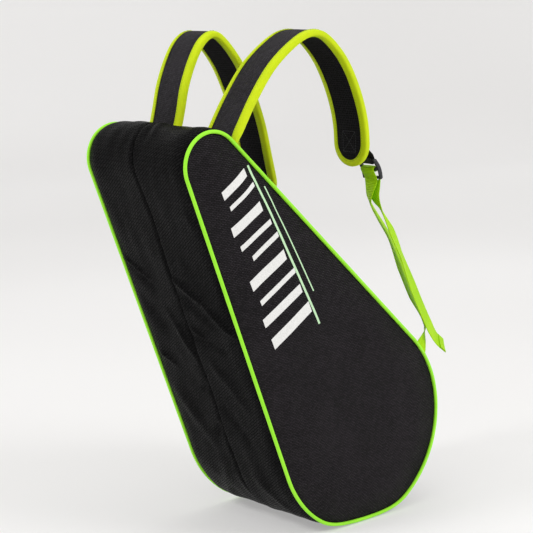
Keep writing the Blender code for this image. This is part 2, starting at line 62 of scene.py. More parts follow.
CASE_DEPTH = PIPE_LOW.y + PIPE_HIGH.y       # between the two piping centre lines
WIDE_RADIUS, NARROW_RADIUS = 0.1415, 0.0425
AXIS_GAP = 0.441
LEAN = radians(32.6)
BASE_SETTLE = 0.006
WIDE_X = 0.0509
TAPER = asin((WIDE_RADIUS - NARROW_RADIUS) / AXIS_GAP)
SPINE_ANGLE = LEAN + TAPER
SIDE_ANGLE = LEAN + pi - TAPER
WIDE_SWEEP = SPINE_ANGLE + 2 * pi - SIDE_ANGLE
WIDE_CENTRE = Vector((WIDE_X, WIDE_RADIUS - BASE_SETTLE))
NARROW_CENTRE = WIDE_CENTRE + AXIS_GAP * Vector((-sin(LEAN), cos(LEAN)))
STRAIGHT = AXIS_GAP * cos(TAPER)
LEGS = (STRAIGHT, NARROW_RADIUS * (SIDE_ANGLE - SPINE_ANGLE), STRAIGHT, WIDE_RADIUS * WIDE_SWEEP)
ROUND = sum(LEGS)
SPINE_FOOT, SPINE_HEAD = -0.115, 1.19
ZIP_HEAD, ZIP_FOOT = SPINE_HEAD + 0.004, 4 + SPINE_FOOT - 0.001
ZIP_Y = -0.016
STRAP_HALF = 0.032
STRAP_CENTRE = CASE_DEPTH / 2 - 0.04
MIDDLE = Vector((-0.06, 0, 0.3))         # a point well inside the case
UP_Y = Vector((0, 1, 0))


# ---- Small helpers ----
def clamp(value):
    return min(max(value, 0), 1)


def ease(share):
    """Smooth step from 0 to 1."""
    share = clamp(share)
    return share * share * (3 - 2 * share)


def steps_between(first, last, count):
    return [first + (last - first) * i / count for i in range(count + 1)]


def oval(centre, a, b, sides):
    """Ring of points round a centre, from its two half-axis vectors."""
    return [centre + cos(turn) * a + sin(turn) * b
            for turn in (2 * pi * j / sides for j in range(sides))]


def reaches(line):
    """Distance along a line of points to each of them."""
    return list(accumulate(((b - a).length for a, b in zip(line, line[1:])), initial=0.0))


def runs(line):
    """Direction of a line of points at each of them."""
    return [(after - before).normalized()
            for before, after in zip(line[:1] + line, line[1:] + line[-1:])]


def add_object(name, data):
    made = bpy.data.objects.new(name, data)
    bpy.context.scene.collection.objects.link(made)
    return made


# ---- Outline ----
FLOOR_BLEND = 0.016         # the corner where the outline meets the floor is rounded over this


def rim_frame(t):
    """Centre (x, z), radius and outward normal angle of the outline at station t."""
    t %= 4
    leg, part = int(t), t - int(t)
    if leg == 0:
        centre = WIDE_CENTRE.lerp(NARROW_CENTRE, part)
        return centre, WIDE_RADIUS + part * (NARROW_RADIUS - WIDE_RADIUS), SPINE_ANGLE
    if leg == 1:
        return NARROW_CENTRE, NARROW_RADIUS, SPINE_ANGLE + part * (SIDE_ANGLE - SPINE_ANGLE)
    if leg == 2:
        centre = NARROW_CENTRE.lerp(WIDE_CENTRE, part)
        return centre, NARROW_RADIUS + part * (WIDE_RADIUS - NARROW_RADIUS), SIDE_ANGLE
    return WIDE_CENTRE, WIDE_RADIUS, SIDE_ANGLE + part * WIDE_SWEEP


def soft_floor(z, level):
    """z kept above level, with the corner rounded over."""
    return max(z, level) + max(FLOOR_BLEND - abs(z - level), 0) ** 2 / (4 * FLOOR_BLEND)


def rim_point(t, inset, y, rise=0.0):
    """Point inset from the outline at station t, kept off the floor by its inset and rise."""
    centre, radius, angle = rim_frame(t)
    z = centre.y + (radius - inset) * sin(angle)
    return Vector((centre.x + (radius - inset) * cos(angle), y, soft_floor(z, max(inset, 0) + rise)))


def rim_normal(t):
    angle = rim_frame(t)[2]
    return Vector((cos(angle), 0, sin(angle)))


def station_at(distance):
    """Station t at a distance along the outline from the foot of the spine."""
    distance %= ROUND
    for leg, length in enumerate(LEGS):
        if distance <= length:
            return leg + distance / length
        distance -= length
    return 4.0


def distance_at(t):
    whole = int(t // 4) * ROUND
    t %= 4
    return whole + sum(LEGS[:int(t)]) + (t - int(t)) * LEGS[int(t)]


def ripple(u, v, size, seed):
    """Smooth noise, about -1 to 1, whose lumps are size metres across."""
    return noise.noise(Vector((u / size + 13.1 * seed, v / size - 7.3 * seed, 2.7 * seed))) * 1.6


# ---- Sheets and the solids cut from them ----
class Sheet:
    """Grid of points that faces outward, or away from MIDDLE.

    closed joins its last row to its first; zipped sews a closed grid's last columns together.
    """

    def __init__(self, points, along, across, closed=False, zipped=False, outward=None):
        self.points = np.array(points, float)
        self.along = np.array(along, float)
        self.across = np.broadcast_to(np.array(across, float), self.points.shape[:2])
        self.closed, self.zipped = closed, zipped
        rows = self.points
        if closed:
            run = np.roll(rows, -1, 0) - np.roll(rows, 1, 0)
        else:
            run = np.gradient(rows, axis=0)
        normal = np.cross(run, np.gradient(rows, axis=1))
        normal /= np.maximum(np.linalg.norm(normal, axis=2, keepdims=True), 1e-12)
        away = rows - np.array(MIDDLE) if outward is None else np.array(outward)
        self.normal = normal if (normal * away).sum() >= 0 else -normal


def finish_mesh(name, verts, faces, uvs, finish, sharp=50):
    """Closed mesh object with weave coordinates, smooth shading and a material."""
    mesh = bpy.data.meshes.new(name)
    mesh.from_pydata([tuple(v) for v in verts], [], faces)
    flat = [c for face in uvs for corner in face for c in corner]
    mesh.uv_layers.new(name="weave").data.foreach_set("uv", flat)
    bm = bmesh.new()
    bm.from_mesh(mesh)
    bmesh.ops.recalc_face_normals(bm, faces=bm.faces)
    bm.to_mesh(mesh)
    bm.free()
    mesh.shade_smooth()
    mesh.set_sharp_from_angle(angle=radians(sharp))
    mesh.materials.append(finish)
    return add_object(name, mesh)


def layer(name, sheet, start, thick, finish):
    """Closed solid between start and start + thick under the sheet's face."""
    rows, cols = sheet.points.shape[:2]
    verts = np.concatenate([(sheet.points - sheet.normal * depth).reshape(-1, 3)
                            for depth in (start, start + thick)])
    under = rows * cols
    faces, uvs = [], []

    def quad(corners, flip=False):
        ids = [i % rows * cols + j + under * deep for i, j, deep in corners]
        marks = [(sheet.along[i], sheet.across[i % rows, j]) for i, j, deep in corners]
        faces.append(ids[::-1] if flip else ids)
        uvs.append(marks[::-1] if flip else marks)

    for i in range(rows if sheet.closed else rows - 1):
        for j in range(cols - 1):
            for deep in (False, True):
                ring = ((i, j), (i + 1, j), (i + 1, j + 1), (i, j + 1))
                quad([(a, b, deep) for a, b in ring], flip=deep)
        for j in (0,) if sheet.zipped else (0, cols - 1):
            quad([(i, j, False), (i, j, True), (i + 1, j, True), (i + 1, j, False)])
    if not sheet.closed:
        for i in (0, rows - 1):
            for j in range(cols - 1):
                quad([(i, j, False), (i, j + 1, False), (i, j + 1, True), (i, j, True)])
    if sheet.zipped:
        half, last = rows // 2, cols - 1
        for i in range(half):
            mirror = [(i, last), (i + 1, last), (rows - i - 1, last), (rows - i, last)]
            if i == 0:
                mirror = mirror[:3]
            if i == half - 1:
                mirror = [mirror[0], mirror[1], mirror[3]]
            for deep in (False, True):
                quad([(a, b, deep) for a, b in mirror], flip=deep)
    return finish_mesh(name, verts, faces, uvs, finish)


def swept(name, rings, along, around, finish, closed=False, sharp=50):
    """Closed solid through rings of equal length; an open run is capped."""
    count, sides = len(rings), len(rings[0])
    verts = [p for ring in rings for p in ring]
    faces, uvs = [], []
    for i in range(count if closed else count - 1):
        k = (i + 1) % count
        for j in range(sides):
            m = (j + 1) % sides
            faces.append([i * sides + j, i * sides + m, k * sides + m, k * sides + j])
            uvs.append([(along[i], around[j]), (along[i], around[j + 1]),
                        (along[i + 1], around[j + 1]), (along[i + 1], around[j])])
    if not closed:
        for i in (0, count - 1):
            faces.append([i * sides + j for j in range(sides)])
            uvs.append([(along[i], around[j]) for j in range(sides)])
    return finish_mesh(name, verts, faces, uvs, finish, sharp)


def boxes(name, spots, finish):
    """One mesh of small closed bars; each spot is centre, three half-edge vectors."""
    verts, faces, uvs = [], [], []
    for centre, a, b, c in spots:
        base = len(verts)
        verts += [centre + i * a + j * b + k * c for i, j, k in product((-1, 1), repeat=3)]
        for ids in ((0, 1, 3, 2), (4, 6, 7, 5), (0, 4, 5, 1), (2, 3, 7, 6), (0, 2, 6, 4), (1, 5, 7, 3)):
            faces.append([base + n for n in ids])
            uvs.append([(0, 0), (0.001, 0), (0.001, 0.001), (0, 0.001)])
    return finish_mesh(name, verts, faces, uvs, finish)


# ---- Materials ----
class Finish:
    """Principled material with a small node graph built on the weave coordinates."""

    def __init__(self, name, roughness, metallic=0.0, specular=0.5):
        self.material = bpy.data.materials.new(name)
        self.material.use_nodes = True
        self.nodes = self.material.node_tree.nodes
        self.links = self.material.node_tree.links
        self.shader = self.nodes["Principled BSDF"]
        self.shader.inputs["Roughness"].default_value = roughness
        self.shader.inputs["Metallic"].default_value = metallic
        self.shader.inputs["Specular IOR Level"].default_value = specular

    def add(self, kind, **settings):
        node = self.nodes.new("ShaderNode" + kind)
        for key, value in settings.items():
            if hasattr(node, key):
                setattr(node, key, value)
            else:
                node.inputs[key.replace("_", " ")].default_value = value
        return node

    def weave(self, turn=0.0):
        """Weave coordinates in metres, turned by an angle."""
        coords = self.add("UVMap", uv_map="weave")
        mapping = self.add("Mapping")
        mapping.inputs["Rotation"].default_value = (0, 0, turn)
        self.links.new(coords.outputs["UV"], mapping.inputs["Vector"])
        return mapping.outputs["Vector"]

    def place(self):
        return self.add("TexCoord").outputs["Object"]

    def noise(self, vector, scale, detail=3.0):
        node = self.add("TexNoise", Scale=scale, Detail=detail)
        self.links.new(vector, node.inputs["Vector"])
        return node.outputs["Fac"]

    def math(self, operation, a, b):
        node = self.add("Math", operation=operation)
        for socket, value in zip(node.inputs, (a, b)):
            if isinstance(value, (int, float)):
                socket.default_value = value
            else:
                self.links.new(value, socket)
        return node.outputs[0]

    def plus(self, a, share, b):
        """A share of a, plus b."""
        return self.math("ADD", self.math("MULTIPLY", a, share), b)

    def ramp(self, factor, low, high, start=0.0, stop=1.0):
        node = self.add("ValToRGB")
        for end, position, colour in zip(node.color_ramp.elements, (start, stop), (low, high)):
            end.position = position
            end.color = (*colour, 1)
        self.links.new(factor, node.inputs["Fac"])
        return node.outputs["Color"]

    def colour(self, socket):
        self.links.new(socket, self.shader.inputs["Base Color"])

    def rough(self, socket):
        self.links.new(socket, self.shader.inputs["Roughness"])

    def bump(self, height, distance):
        node = self.add("Bump", Distance=distance, Strength=1.0)
        self.links.new(height, node.inputs["Height"])
        self.links.new(node.outputs["Normal"], self.shader.inputs["Normal"])

    def bricks(self, vector, length, height, joint):
        """Staggered dashes of thread; gives the brick-to-brick tint and the joints."""
        node = self.add("TexBrick", Scale=1.0, Mortar_Size=joint, Mortar_Smooth=0.6,
                        Brick_Width=length, Row_Height=height)
        node.inputs["Color1"].default_value = (1, 1, 1, 1)
        node.inputs["Color2"].default_value = (0.35, 0.35, 0.35, 1)
        node.inputs["Mortar"].default_value = (0, 0, 0, 1)
        self.links.new(vector, node.inputs["Vector"])
        return node.outputs["Color"], node.outputs["Fac"]


def woven(name, dark, light, dash, turn, relief, roughness, specular):
    """Dobby-woven cloth: staggered dashes, faint cloudy wear and fine thread relief."""
    f = Finish(name, roughness, specular=specular)
    length, height = dash
    tint, joint = f.bricks(f.weave(turn), length, height, height * 0.22)
    cloud = f.noise(f.place(), 14)
    thread = f.noise(f.weave(turn), 2200, 1)
    wear = f.math("MULTIPLY", f.math("SUBTRACT", cloud, 0.5), 0.7)
    f.colour(f.ramp(f.plus(tint, 0.75, wear), dark, light))
    f.rough(f.plus(joint, 0.25, f.plus(cloud, 0.2, roughness - 0.1)))
    f.bump(f.math("SUBTRACT", f.math("MULTIPLY", thread, 0.35), joint), relief)
    return f.material


def ribbed(name, dark, light, rib, relief, roughness=0.55):
    """Ribbed tape or webbing: fine ribs across its length, with a soft change of shade."""
    f = Finish(name, roughness, specular=0.2)
    vector = f.weave()
    wave = f.add("TexWave", wave_type="BANDS", bands_direction="X", Scale=1.0 / rib / 3.18,
                 Distortion=0.6, Detail=1.0)
    f.links.new(vector, wave.inputs["Vector"])
    ribs = wave.outputs["Fac"]
    cloud = f.noise(f.place(), 30)
    grain = f.noise(vector, 1500, 2)
    wear = f.plus(cloud, 0.5, f.math("MULTIPLY", grain, 0.25))
    f.colour(f.ramp(f.plus(ribs, 0.35, wear), dark, light, 0.15, 0.85))
    f.bump(f.plus(grain, 0.5, ribs), relief)
    return f.material


def air_mesh(name):
    """Spacer mesh: small staggered holes over a soft black ground."""
    f = Finish(name, 0.85, specular=0.05)
    cells = f.add("TexVoronoi", feature="F1", Scale=300.0, Randomness=0.25)
    f.links.new(f.weave(), cells.inputs["Vector"])
    hole = cells.outputs["Distance"]
    f.colour(f.ramp(hole, (0.001, 0.001, 0.001), (0.02, 0.019, 0.021), 0.15, 0.6))
    f.bump(hole, 0.0004)
    return f.material


def grained(name, grain, dark, light, span, roughness, gloss=None, relief=None, **looks):
    """One noise, as (scale, detail), that tints from dark to light over a span of its values.

    gloss adds to the roughness as (share of the noise, rest); relief is the bump's height.
    """
    f = Finish(name, roughness, **looks)
    speck = f.noise(f.place(), *grain)
    f.colour(f.ramp(speck, dark, light, *span))
    if gloss:
        f.rough(f.plus(speck, *gloss))
    if relief:
        f.bump(speck, relief)
    return f


def moulded(name, colour, roughness=0.42):
    """Moulded plastic with a fine spark-eroded grain and rubbed patches."""
    rubbed = tuple(2.2 * c + 0.006 for c in colour)
    f = grained(name, (60,), colour, rubbed, (0.35, 0.9), roughness, (0.25, roughness - 0.12))
    f.bump(f.noise(f.place(), 2600, 1), 0.00006)
    return f.material


def ink(name, colour):
    """Screen print: flat ink with the cloth's weave just showing through."""
    thin = tuple(0.82 * c for c in colour)
    return grained(name, (700, 2), thin, colour, (0.25, 0.6), 0.5, relief=0.0001).material


# Woven cloth: dark, light, dash (length, height), turn, relief, roughness, specular.
PANEL = woven("panel_cloth", (0.003, 0.0022, 0.0028), (0.032, 0.027, 0.032), (0.0046, 0.0022),
              0.0, 0.001, 0.5, 0.12)
GUSSET = woven("gusset_cloth", (0.0004, 0.0004, 0.0005), (0.0115, 0.011, 0.0115), (0.009, 0.0032),
               radians(-56), 0.0016, 0.38, 0.045)
STRAP = woven("strap_cloth", (0.006, 0.005, 0.006), (0.06, 0.054, 0.064), (0.004, 0.0019),
              radians(35), 0.0008, 0.6, 0.16)
LINING = woven("lining_cloth", (0.006, 0.006, 0.0065), (0.02, 0.02, 0.021), (0.0016, 0.001),
               0.0, 0.0002, 0.48, 0.3)
# Painted shade: near-black matt cloth for the tube along the flap's edge, standing for the shadowed gap
# there.
FLAP_GAP_SHADE = woven("flap_gap_painted_shade", (0.0003, 0.0003, 0.0003), (0.0012, 0.0012, 0.0012), (0.002, 0.001),
               0.0, 0.0002, 0.95, 0.0)
MESH = air_mesh("air_mesh")
# Ribbed tapes: dark, light, rib spacing, relief, roughness.
PIPING = ribbed("piping_cord", (0.22, 0.72, 0.014), (0.42, 0.96, 0.05), 0.0016, 0.00015, 0.5)
BINDING = ribbed("binding_tape", (0.46, 0.64, 0.001), (0.74, 0.88, 0.006), 0.0012, 0.0003, 0.6)
WEBBING_CLOTH = ribbed("lime_webbing", (0.24, 0.56, 0.001), (0.52, 0.86, 0.002), 0.0022, 0.0005, 0.6)
BLACK_WEB = ribbed("black_webbing", (0.006, 0.006, 0.007), (0.022, 0.022, 0.024), 0.0022, 0.0003)
TAPE = ribbed("zip_tape", (0.006, 0.006, 0.007), (0.02, 0.02, 0.021), 0.001, 0.0002)
THREAD = ribbed("lime_thread", (0.26, 0.42, 0.004), (0.44, 0.62, 0.012), 0.0006, 0.0001)
DARK_THREAD = ribbed("dark_thread", (0.018, 0.018, 0.02), (0.05, 0.05, 0.055), 0.0006, 0.0001)
PLASTIC = moulded("buckle_plastic", (0.014, 0.015, 0.018))
TEETH = moulded("zip_coil", (0.01, 0.01, 0.011), 0.35)
METAL = grained("zip_metal", (900, 4), (0.16, 0.16, 0.17), (0.34, 0.34, 0.36), (0.3, 0.8), 0.32,
                (0.3, 0.18), metallic=1.0).material
FOAM = grained("foam", (1400, 2), (0.35, 0.35, 0.35), (0.62, 0.62, 0.62), (0.3, 0.8), 0.9,
               relief=0.0003).material
WHITE_INK = ink("white_print", (0.8, 0.8, 0.78))
MINT_INK = ink("mint_print", (0.55, 0.82, 0.5))


def keep(node, finish):
    """A CAD node that stays, with its material."""
    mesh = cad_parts[node].data
    mesh.materials.clear()
    mesh.materials.append(finish)


def settle(piece, body, slot, *nodes, fill=None):
    """Parent a finished piece to its body's empty, or bake its transform in place when the body is given
    as a tuple, and hide the CAD nodes it replaces.
    """
    if isinstance(body, str):
        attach(piece, body)
    else:
        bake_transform(piece)
    if nodes:
        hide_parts(*nodes)


# ---- Walls: cloth, foam and lining, as depths under the cloth's face ----
CLOTH = 0.001
FOAM_START, FOAM_THICK = 0.0013, 0.0038
LINING_START, LINING_THICK = 0.0054, 0.0008
CLOTH_EDGE = CASE_DEPTH / 2 - 0.002         # |y| where a gusset's cloth ends, beside the piping
PADDING_EDGE = CASE_DEPTH / 2 - 0.006
PADDING_INSET = 0.0045                      # a panel's padding stops this far short of its cloth
ZIP_GAP = 0.0095                            # and a gusset's this far short of the zip or the flap


def build_wall(name, body, cloth, inner, finish, slot, node, fill, flat=False):
    """One wall's three layers; node is the outer cloth's CAD name."""
    for ending, sheet, start, thick, skin, kind, stands_for, padded in (
            ("_cloth", cloth, 0, CLOTH, finish, slot, node, fill),
            ("_padding", inner, FOAM_START, FOAM_THICK, FOAM, "foam", name + "_foam", None),
            ("_inside", inner, LINING_START, LINING_THICK, LINING, "lining", name + "_lining", None)):
        piece = layer(name + ending, sheet, start, thick, skin)
        if flat:
            flat_weave(piece)
        settle(piece, body, kind, stands_for, fill=padded)


# ---- Panels ----
PANEL_EDGE = 0.0018         # the cloth dives beside the piping from here
PANEL_STEPS = 300           # stations round a panel, an even number


def panel_height(depth, x, z, seed):
    """How far a panel's cloth stands out, from its distance in from the seam."""
    crown = 0.0046 * ease(depth / 0.045)
    groove = 0.002 * exp(-(depth - PANEL_EDGE) / 0.0022)
    waves = 0.0012 * ripple(x, z, 0.085, seed) + 0.0007 * ripple(x, 0.5 * z, 0.03, seed + 1)
    puckers = 0.0007 * ripple(x + z, x - z, 0.016, seed + 2) * exp(-depth / 0.018)
    return crown - groove + min(depth / 0.03, 1) * waves + puckers


def panel_sheet(side):
    """Cloth of a panel as rings from the piping in to a slit along the case's axis."""
    start = distance_at(3.5)
    stations = [station_at(start + ROUND * i / PANEL_STEPS) for i in range(PANEL_STEPS)]
    insets = [PANEL_EDGE, 0.0026, 0.0036, 0.005, 0.007, 0.01, 0.014]
    shares = [1 - (i / 14) ** 0.9 for i in range(1, 14)] + [0.03]
    points = []
    for t in stations:
        radius = rim_frame(t)[1]
        depths = insets + [radius - (radius - insets[-1]) * share for share in shares]
        row = []
        for depth in depths:
            spot = rim_point(t, depth, 0, 0.0024)
            out = panel_height(depth, spot.x, spot.z, 3 if side < 0 else 5)
            row.append((spot.x, side * (CASE_DEPTH / 2 + out), spot.z))
        points.append(row)
    sheet = Sheet(points, steps_between(0, ROUND, PANEL_STEPS), [0] * len(points[0]), True, True)
    sheet.normal[:, -2:] = (0, side, 0)
    return sheet


def flat_weave(piece):
    """Weave coordinates of a panel, taken straight across it."""
    mesh = piece.data
    for loop in mesh.loops:
        co = mesh.vertices[loop.vertex_index].co
        mesh.uv_layers["weave"].data[loop.index].uv = (co.x, co.z)


def build_panel(side, name, body):
    cloth = panel_sheet(side)
    inner = shrunk(cloth, PADDING_INSET)
    build_wall(name, body, cloth, inner, PANEL, "panel_cloth", name, 0.45, flat=True)


def shrunk(sheet, inset):
    """The same panel grid, drawn in from its edge, for the layers under the cloth."""
    points = sheet.points.copy()
    centre = points[:, -1:, :]
    reach = np.linalg.norm(points[:, :1, :] - centre, axis=2, keepdims=True)
    share = np.maximum(1 - inset / np.maximum(reach, 1e-6), 0.1)
    points[..., ::2] = (centre + (points - centre) * share)[..., ::2]
    return Sheet(points, sheet.along, sheet.across, sheet.closed, sheet.zipped)


# ---- Piping ----
def build_piping(side, name, body):
    """Covered cord with its sewn joint, a little uneven along its length."""
    steps, sides, radius = 420, 12, 0.0024
    rings = []
    for i in range(steps):
        t = station_at(ROUND * i / steps)
        centre = rim_point(t, 0.0002, side * (CASE_DEPTH / 2 + 0.0001), radius + 0.0002)
        swell = radius * (1 + 0.035 * ripple(i * 0.01, side, 0.05, 4))
        rings.append(oval(centre, swell * rim_normal(t), swell * UP_Y, sides))
    along, around = steps_between(0, ROUND, steps), steps_between(0, 2 * pi * radius, sides)
    settle(swept(name + "_cord", rings, along, around, PIPING, closed=True), body, "piping", name)


# ---- Gussets ----
# Soft creases pressed into the zipped gusset, as (from t, y, to t, y, width, height).
CREASES = (
    (1.22, 0.012, 1.62, -0.012, 0.0032, -0.0018), (1.22, 0.004, 1.55, -0.024, 0.005, 0.0016),
    (2.29, 0.094, 2.36, 0.048, 0.0034, 0.0026), (2.3, 0.088, 2.38, 0.044, 0.008, -0.0018),
    (2.33, -0.004, 2.41, -0.054, 0.0042, 0.0028), (2.4, -0.05, 2.51, -0.096, 0.0036, 0.0026),
    (2.38, -0.006, 2.5, -0.07, 0.009, -0.0024), (2.5, -0.006, 2.54, -0.034, 0.0032, 0.0022),
    (2.53, -0.004, 2.57, -0.068, 0.006, -0.002), (2.46, 0.034, 2.62, 0.004, 0.006, 0.0022),
    (2.44, 0.07, 2.58, 0.04, 0.012, -0.002), (2.62, 0.088, 2.66, 0.058, 0.004, 0.0016),
    (2.6, -0.02, 2.78, -0.072, 0.0075, 0.0016), (2.7, 0.002, 2.74, 0.02, 0.005, -0.0024),
    (2.76, -0.014, 2.9, -0.056, 0.008, -0.0014), (2.85, 0.002, 2.9, 0.022, 0.005, -0.0024),
    (2.74, 0.08, 2.95, 0.03, 0.011, 0.0018), (3.0, 0.02, 3.2, 0.08, 0.009, 0.0016),
    (3.0, -0.03, 3.16, -0.08, 0.009, 0.0014),
)
CREASE_GAIN = 1.35
CREASE_LINES = [(distance_at(t0), y0, distance_at(t1), y1, width, CREASE_GAIN * height)
                for t0, y0, t1, y1, width, height in CREASES]


def crease_height(along, y):
    """Sum of the soft ridges at a point of the gusset."""
    total = 0.0
    for a0, y0, a1, y1, width, height in CREASE_LINES:
        run, rise = a1 - a0, y1 - y0
        share = ((along - a0) * run + (y - y0) * rise) / (run * run + rise * rise)
        share = min(max(share, 0.02), 0.98)
        gap_squared = (along - a0 - share * run) ** 2 + (y - y0 - share * rise) ** 2
        if gap_squared < 9 * width * width:
            swell = sqrt(sin(pi * share)) * exp(-gap_squared / (width * width))
            total += height * swell
    return total


def seam_dip(edge):
    """How far cloth dives towards the piping, from its distance in from the edge."""
    return 0.0018 * exp(-max(edge - 0.0018, 0) / 0.003)


def gusset_out(t, y):
    """How far the zipped gusset stands out of the outline."""
    centre, radius, angle = rim_frame(t)
    edge = CASE_DEPTH / 2 - abs(y)
    belly = min(edge / 0.022, 1)
    belly = belly * (2 - belly)
    calm = 1 - 0.4 * exp(-((y - ZIP_Y) / 0.02) ** 2)
    along = distance_at(t)
    waves = 0.0015 * ripple(along, y, 0.075, 7) + 0.0008 * ripple(along, 2 * y, 0.035, 8)
    out = 0.004 * belly - seam_dip(edge) + belly * calm * waves + crease_height(along, y)
    above_floor = clamp((centre.y + radius * sin(angle)) / 0.03)
    return out * (0.15 + 0.85 * above_floor)


# Where the flap's folded edge runs, as (t, y): it swings to the rear over the crown.
FLAP_COURSE = ((1.19, 0.015), (1.35, 0.012), (1.66, 0.001), (1.87, -0.005), (2.05, -0.0105),
               (2.22, -0.0095), (2.5, -0.0035), (2.7, -0.007), (2.87, -0.0045), (3.9, -0.006))


def flap_edge(t):
    """y of the flap's folded edge, with the course's corners smoothed off."""
    spread = [np.interp(t + shift, *zip(*FLAP_COURSE)) for shift in (-0.06, -0.03, 0, 0.03, 0.06)]
    return float(np.mean(spread)) + 0.0005 * ripple(distance_at(t), 0, 0.05, 9)


def rear_edge(t):
    """Rear cloth's edge, beside the zip and under the flap."""
    return max(min(flap_edge(t) - 0.0045, -0.0095), ZIP_Y + 0.0036)


UNDER_DROP, UNDER_REACH = 0.004, 0.011          # the rear cloth sinks this much under the flap


def gusset_sheet(side, edge_at, outer):
    """Cloth of one half of the zipped gusset, from outer beside the piping in to edge_at(t)."""
    first, last = distance_at(ZIP_HEAD), distance_at(ZIP_FOOT)
    count = int((last - first) / 0.0032)
    along = steps_between(first, last, count)
    shares = [0, 0.01, 0.025, 0.05] + steps_between(0.08, 0.94, 30) + [0.965, 0.985, 1]
    points, marks = [], []
    for distance in along:
        t = station_at(distance)
        flap = flap_edge(t)
        row, depths = [], []
        for share in shares:
            y = side * outer + (edge_at(t) - side * outer) * share
            out = gusset_out(t, y)
            if side > 0:
                out -= UNDER_DROP * ease((flap + UNDER_REACH - y) / UNDER_REACH)
            else:
                out += 0.0014 * exp(-((y - flap) / 0.012) ** 2)
            row.append(rim_point(t, -out, y))
            depths.append(y)
        points.append(row)
        marks.append(depths)
    return Sheet(points, along, marks)


def build_gusset(side, name, body, edge_at, padding_edge):
    cloth = gusset_sheet(side, edge_at, CLOTH_EDGE)
    inner = gusset_sheet(side, padding_edge, PADDING_EDGE)
    build_wall(name, body, cloth, inner, GUSSET, "gusset_cloth", name, 0.4)


def build_shaded_flap_hem():
    """Near-black matt tube round the flap's folded edge: the rolled edge in painted shade, standing for
    the shadowed gap between the flap and the rear cloth.
    """
    rings, sides, radius = [], 8, 0.0022
    along = steps_between(distance_at(ZIP_HEAD), distance_at(ZIP_FOOT), 360)
    for distance in along:
        t = station_at(distance)
        out = gusset_out(t, flap_edge(t)) + 0.0006
        centre = rim_point(t, radius - out, flap_edge(t) + 0.0016, radius + 0.0002)
        rings.append(oval(centre, radius * rim_normal(t), radius * UP_Y, sides))
    around = steps_between(0, 2 * pi * radius, sides)
    settle(swept("flap_gap_painted_shade", rings, along, around, FLAP_GAP_SHADE), "lid", "gusset_cloth", "placket")


def spine_out(t, y):
    """How far the spine's padded cloth stands out of the outline."""
    along = ((t if t < 2 else t - 4) - SPINE_FOOT) / (SPINE_HEAD - SPINE_FOOT)
    across = 2 * y / CASE_DEPTH
    edge = CASE_DEPTH / 2 - abs(y)
    bulge = 0.008 * (1 - across * across) + 0.0055 * (1 - exp(-edge / 0.004))
    distance = distance_at(t)
    waves = 0.0012 * ripple(distance, y, 0.07, 11) + 0.0006 * ripple(distance, y, 0.03, 12)
    return sin(pi * clamp(along)) * bulge - seam_dip(edge) + waves * min(edge / 0.03, 1)


def spine_sheet(outer):
    first, last = distance_at(SPINE_FOOT), distance_at(SPINE_HEAD)
    along = steps_between(first, last, int((last - first) / 0.005))
    shares = [0, 0.008, 0.02, 0.04] + steps_between(0.07, 0.93, 24) + [0.96, 0.98, 0.992, 1]
    depths = [outer * (2 * share - 1) for share in shares]
    points = [[rim_point(station_at(d), -spine_out(station_at(d), y), y) for y in depths] for d in along]
    return Sheet(points, along, depths)


def build_spine():
    cloth, inner = spine_sheet(CLOTH_EDGE), spine_sheet(PADDING_EDGE)
    build_wall("spine", "shell", cloth, inner, GUSSET, "gusset_cloth", "spine_gusset", 0.5)


# ---- Zip ----
TOOTH_PITCH, TOOTH_DEPTH, TOOTH_ASIDE = 0.0026, 0.0078, 0.00215


def build_zip(side, body, word):
    """Row of moulded teeth on its tape, sunk under the flap."""
    keep("zip_tape_" + word, TAPE)
    first, last = distance_at(ZIP_HEAD + 0.06), distance_at(ZIP_FOOT - 0.02)
    spots = []
    for i in range(int((last - first) / TOOTH_PITCH)):
        t = station_at(first + (i + (0.5 if side > 0 else 0)) * TOOTH_PITCH)
        normal = rim_normal(t)
        run = normal.cross(UP_Y)
        centre = rim_point(t, TOOTH_DEPTH, ZIP_Y + side * TOOTH_ASIDE)
        spots.append((centre, run * 0.0008, UP_Y * 0.00095, normal * 0.0007))
    settle(boxes("zip_coil_" + word, spots, TEETH), body, "zip_teeth", "zip_teeth_" + word)


def build_zip_metal(name, node, width, body):
    """A metal piece of the zip: its CAD node's shape with its edges rounded over."""
    bm = bmesh.new()
    bm.from_mesh(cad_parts[node].data)
    bmesh.ops.remove_doubles(bm, verts=bm.verts, dist=0.00001)
    bmesh.ops.dissolve_limit(bm, angle_limit=radians(3), verts=bm.verts, edges=bm.edges)
    mesh = bpy.data.meshes.new(name)
    bm.to_mesh(mesh)
    bm.free()
    made = add_object(name, mesh)
    bevel = made.modifiers.new("rounding", "BEVEL")
    bevel.width, bevel.segments, bevel.limit_method = width, 3, "ANGLE"
    bevel.angle_limit = radians(35)
    bpy.context.view_layer.update()
    done = bpy.data.meshes.new_from_object(made.evaluated_get(bpy.context.evaluated_depsgraph_get()))
    made.modifiers.clear()
    made.data = done
    done.materials.clear()
    done.materials.append(METAL)
    done.shade_smooth()
    done.set_sharp_from_angle(angle=radians(50))
    settle(made, body, "zip_metal", node)


# ---- Straps ----
# Each strap's middle line, from its seam to its tip, as (x from the wide end's centre, z).
FRONT_STRAP = ((-0.196, 0.5258), (-0.184, 0.544), (-0.16, 0.58), (-0.1265, 0.62),
               (-0.086, 0.649), (-0.057, 0.6585), (-0.033, 0.651), (-0.004, 0.621),
               (0.018, 0.578), (0.03, 0.532), (0.031, 0.477))
REAR_STRAP = ((-0.196, 0.5258), (-0.185, 0.542), (-0.178, 0.564), (-0.17, 0.594),
              (-0.156, 0.626), (-0.139, 0.65), (-0.119, 0.659), (-0.1, 0.646),
              (-0.076, 0.615), (-0.057, 0.575), (-0.043, 0.535), (-0.033, 0.49),
              (-0.02, 0.43))


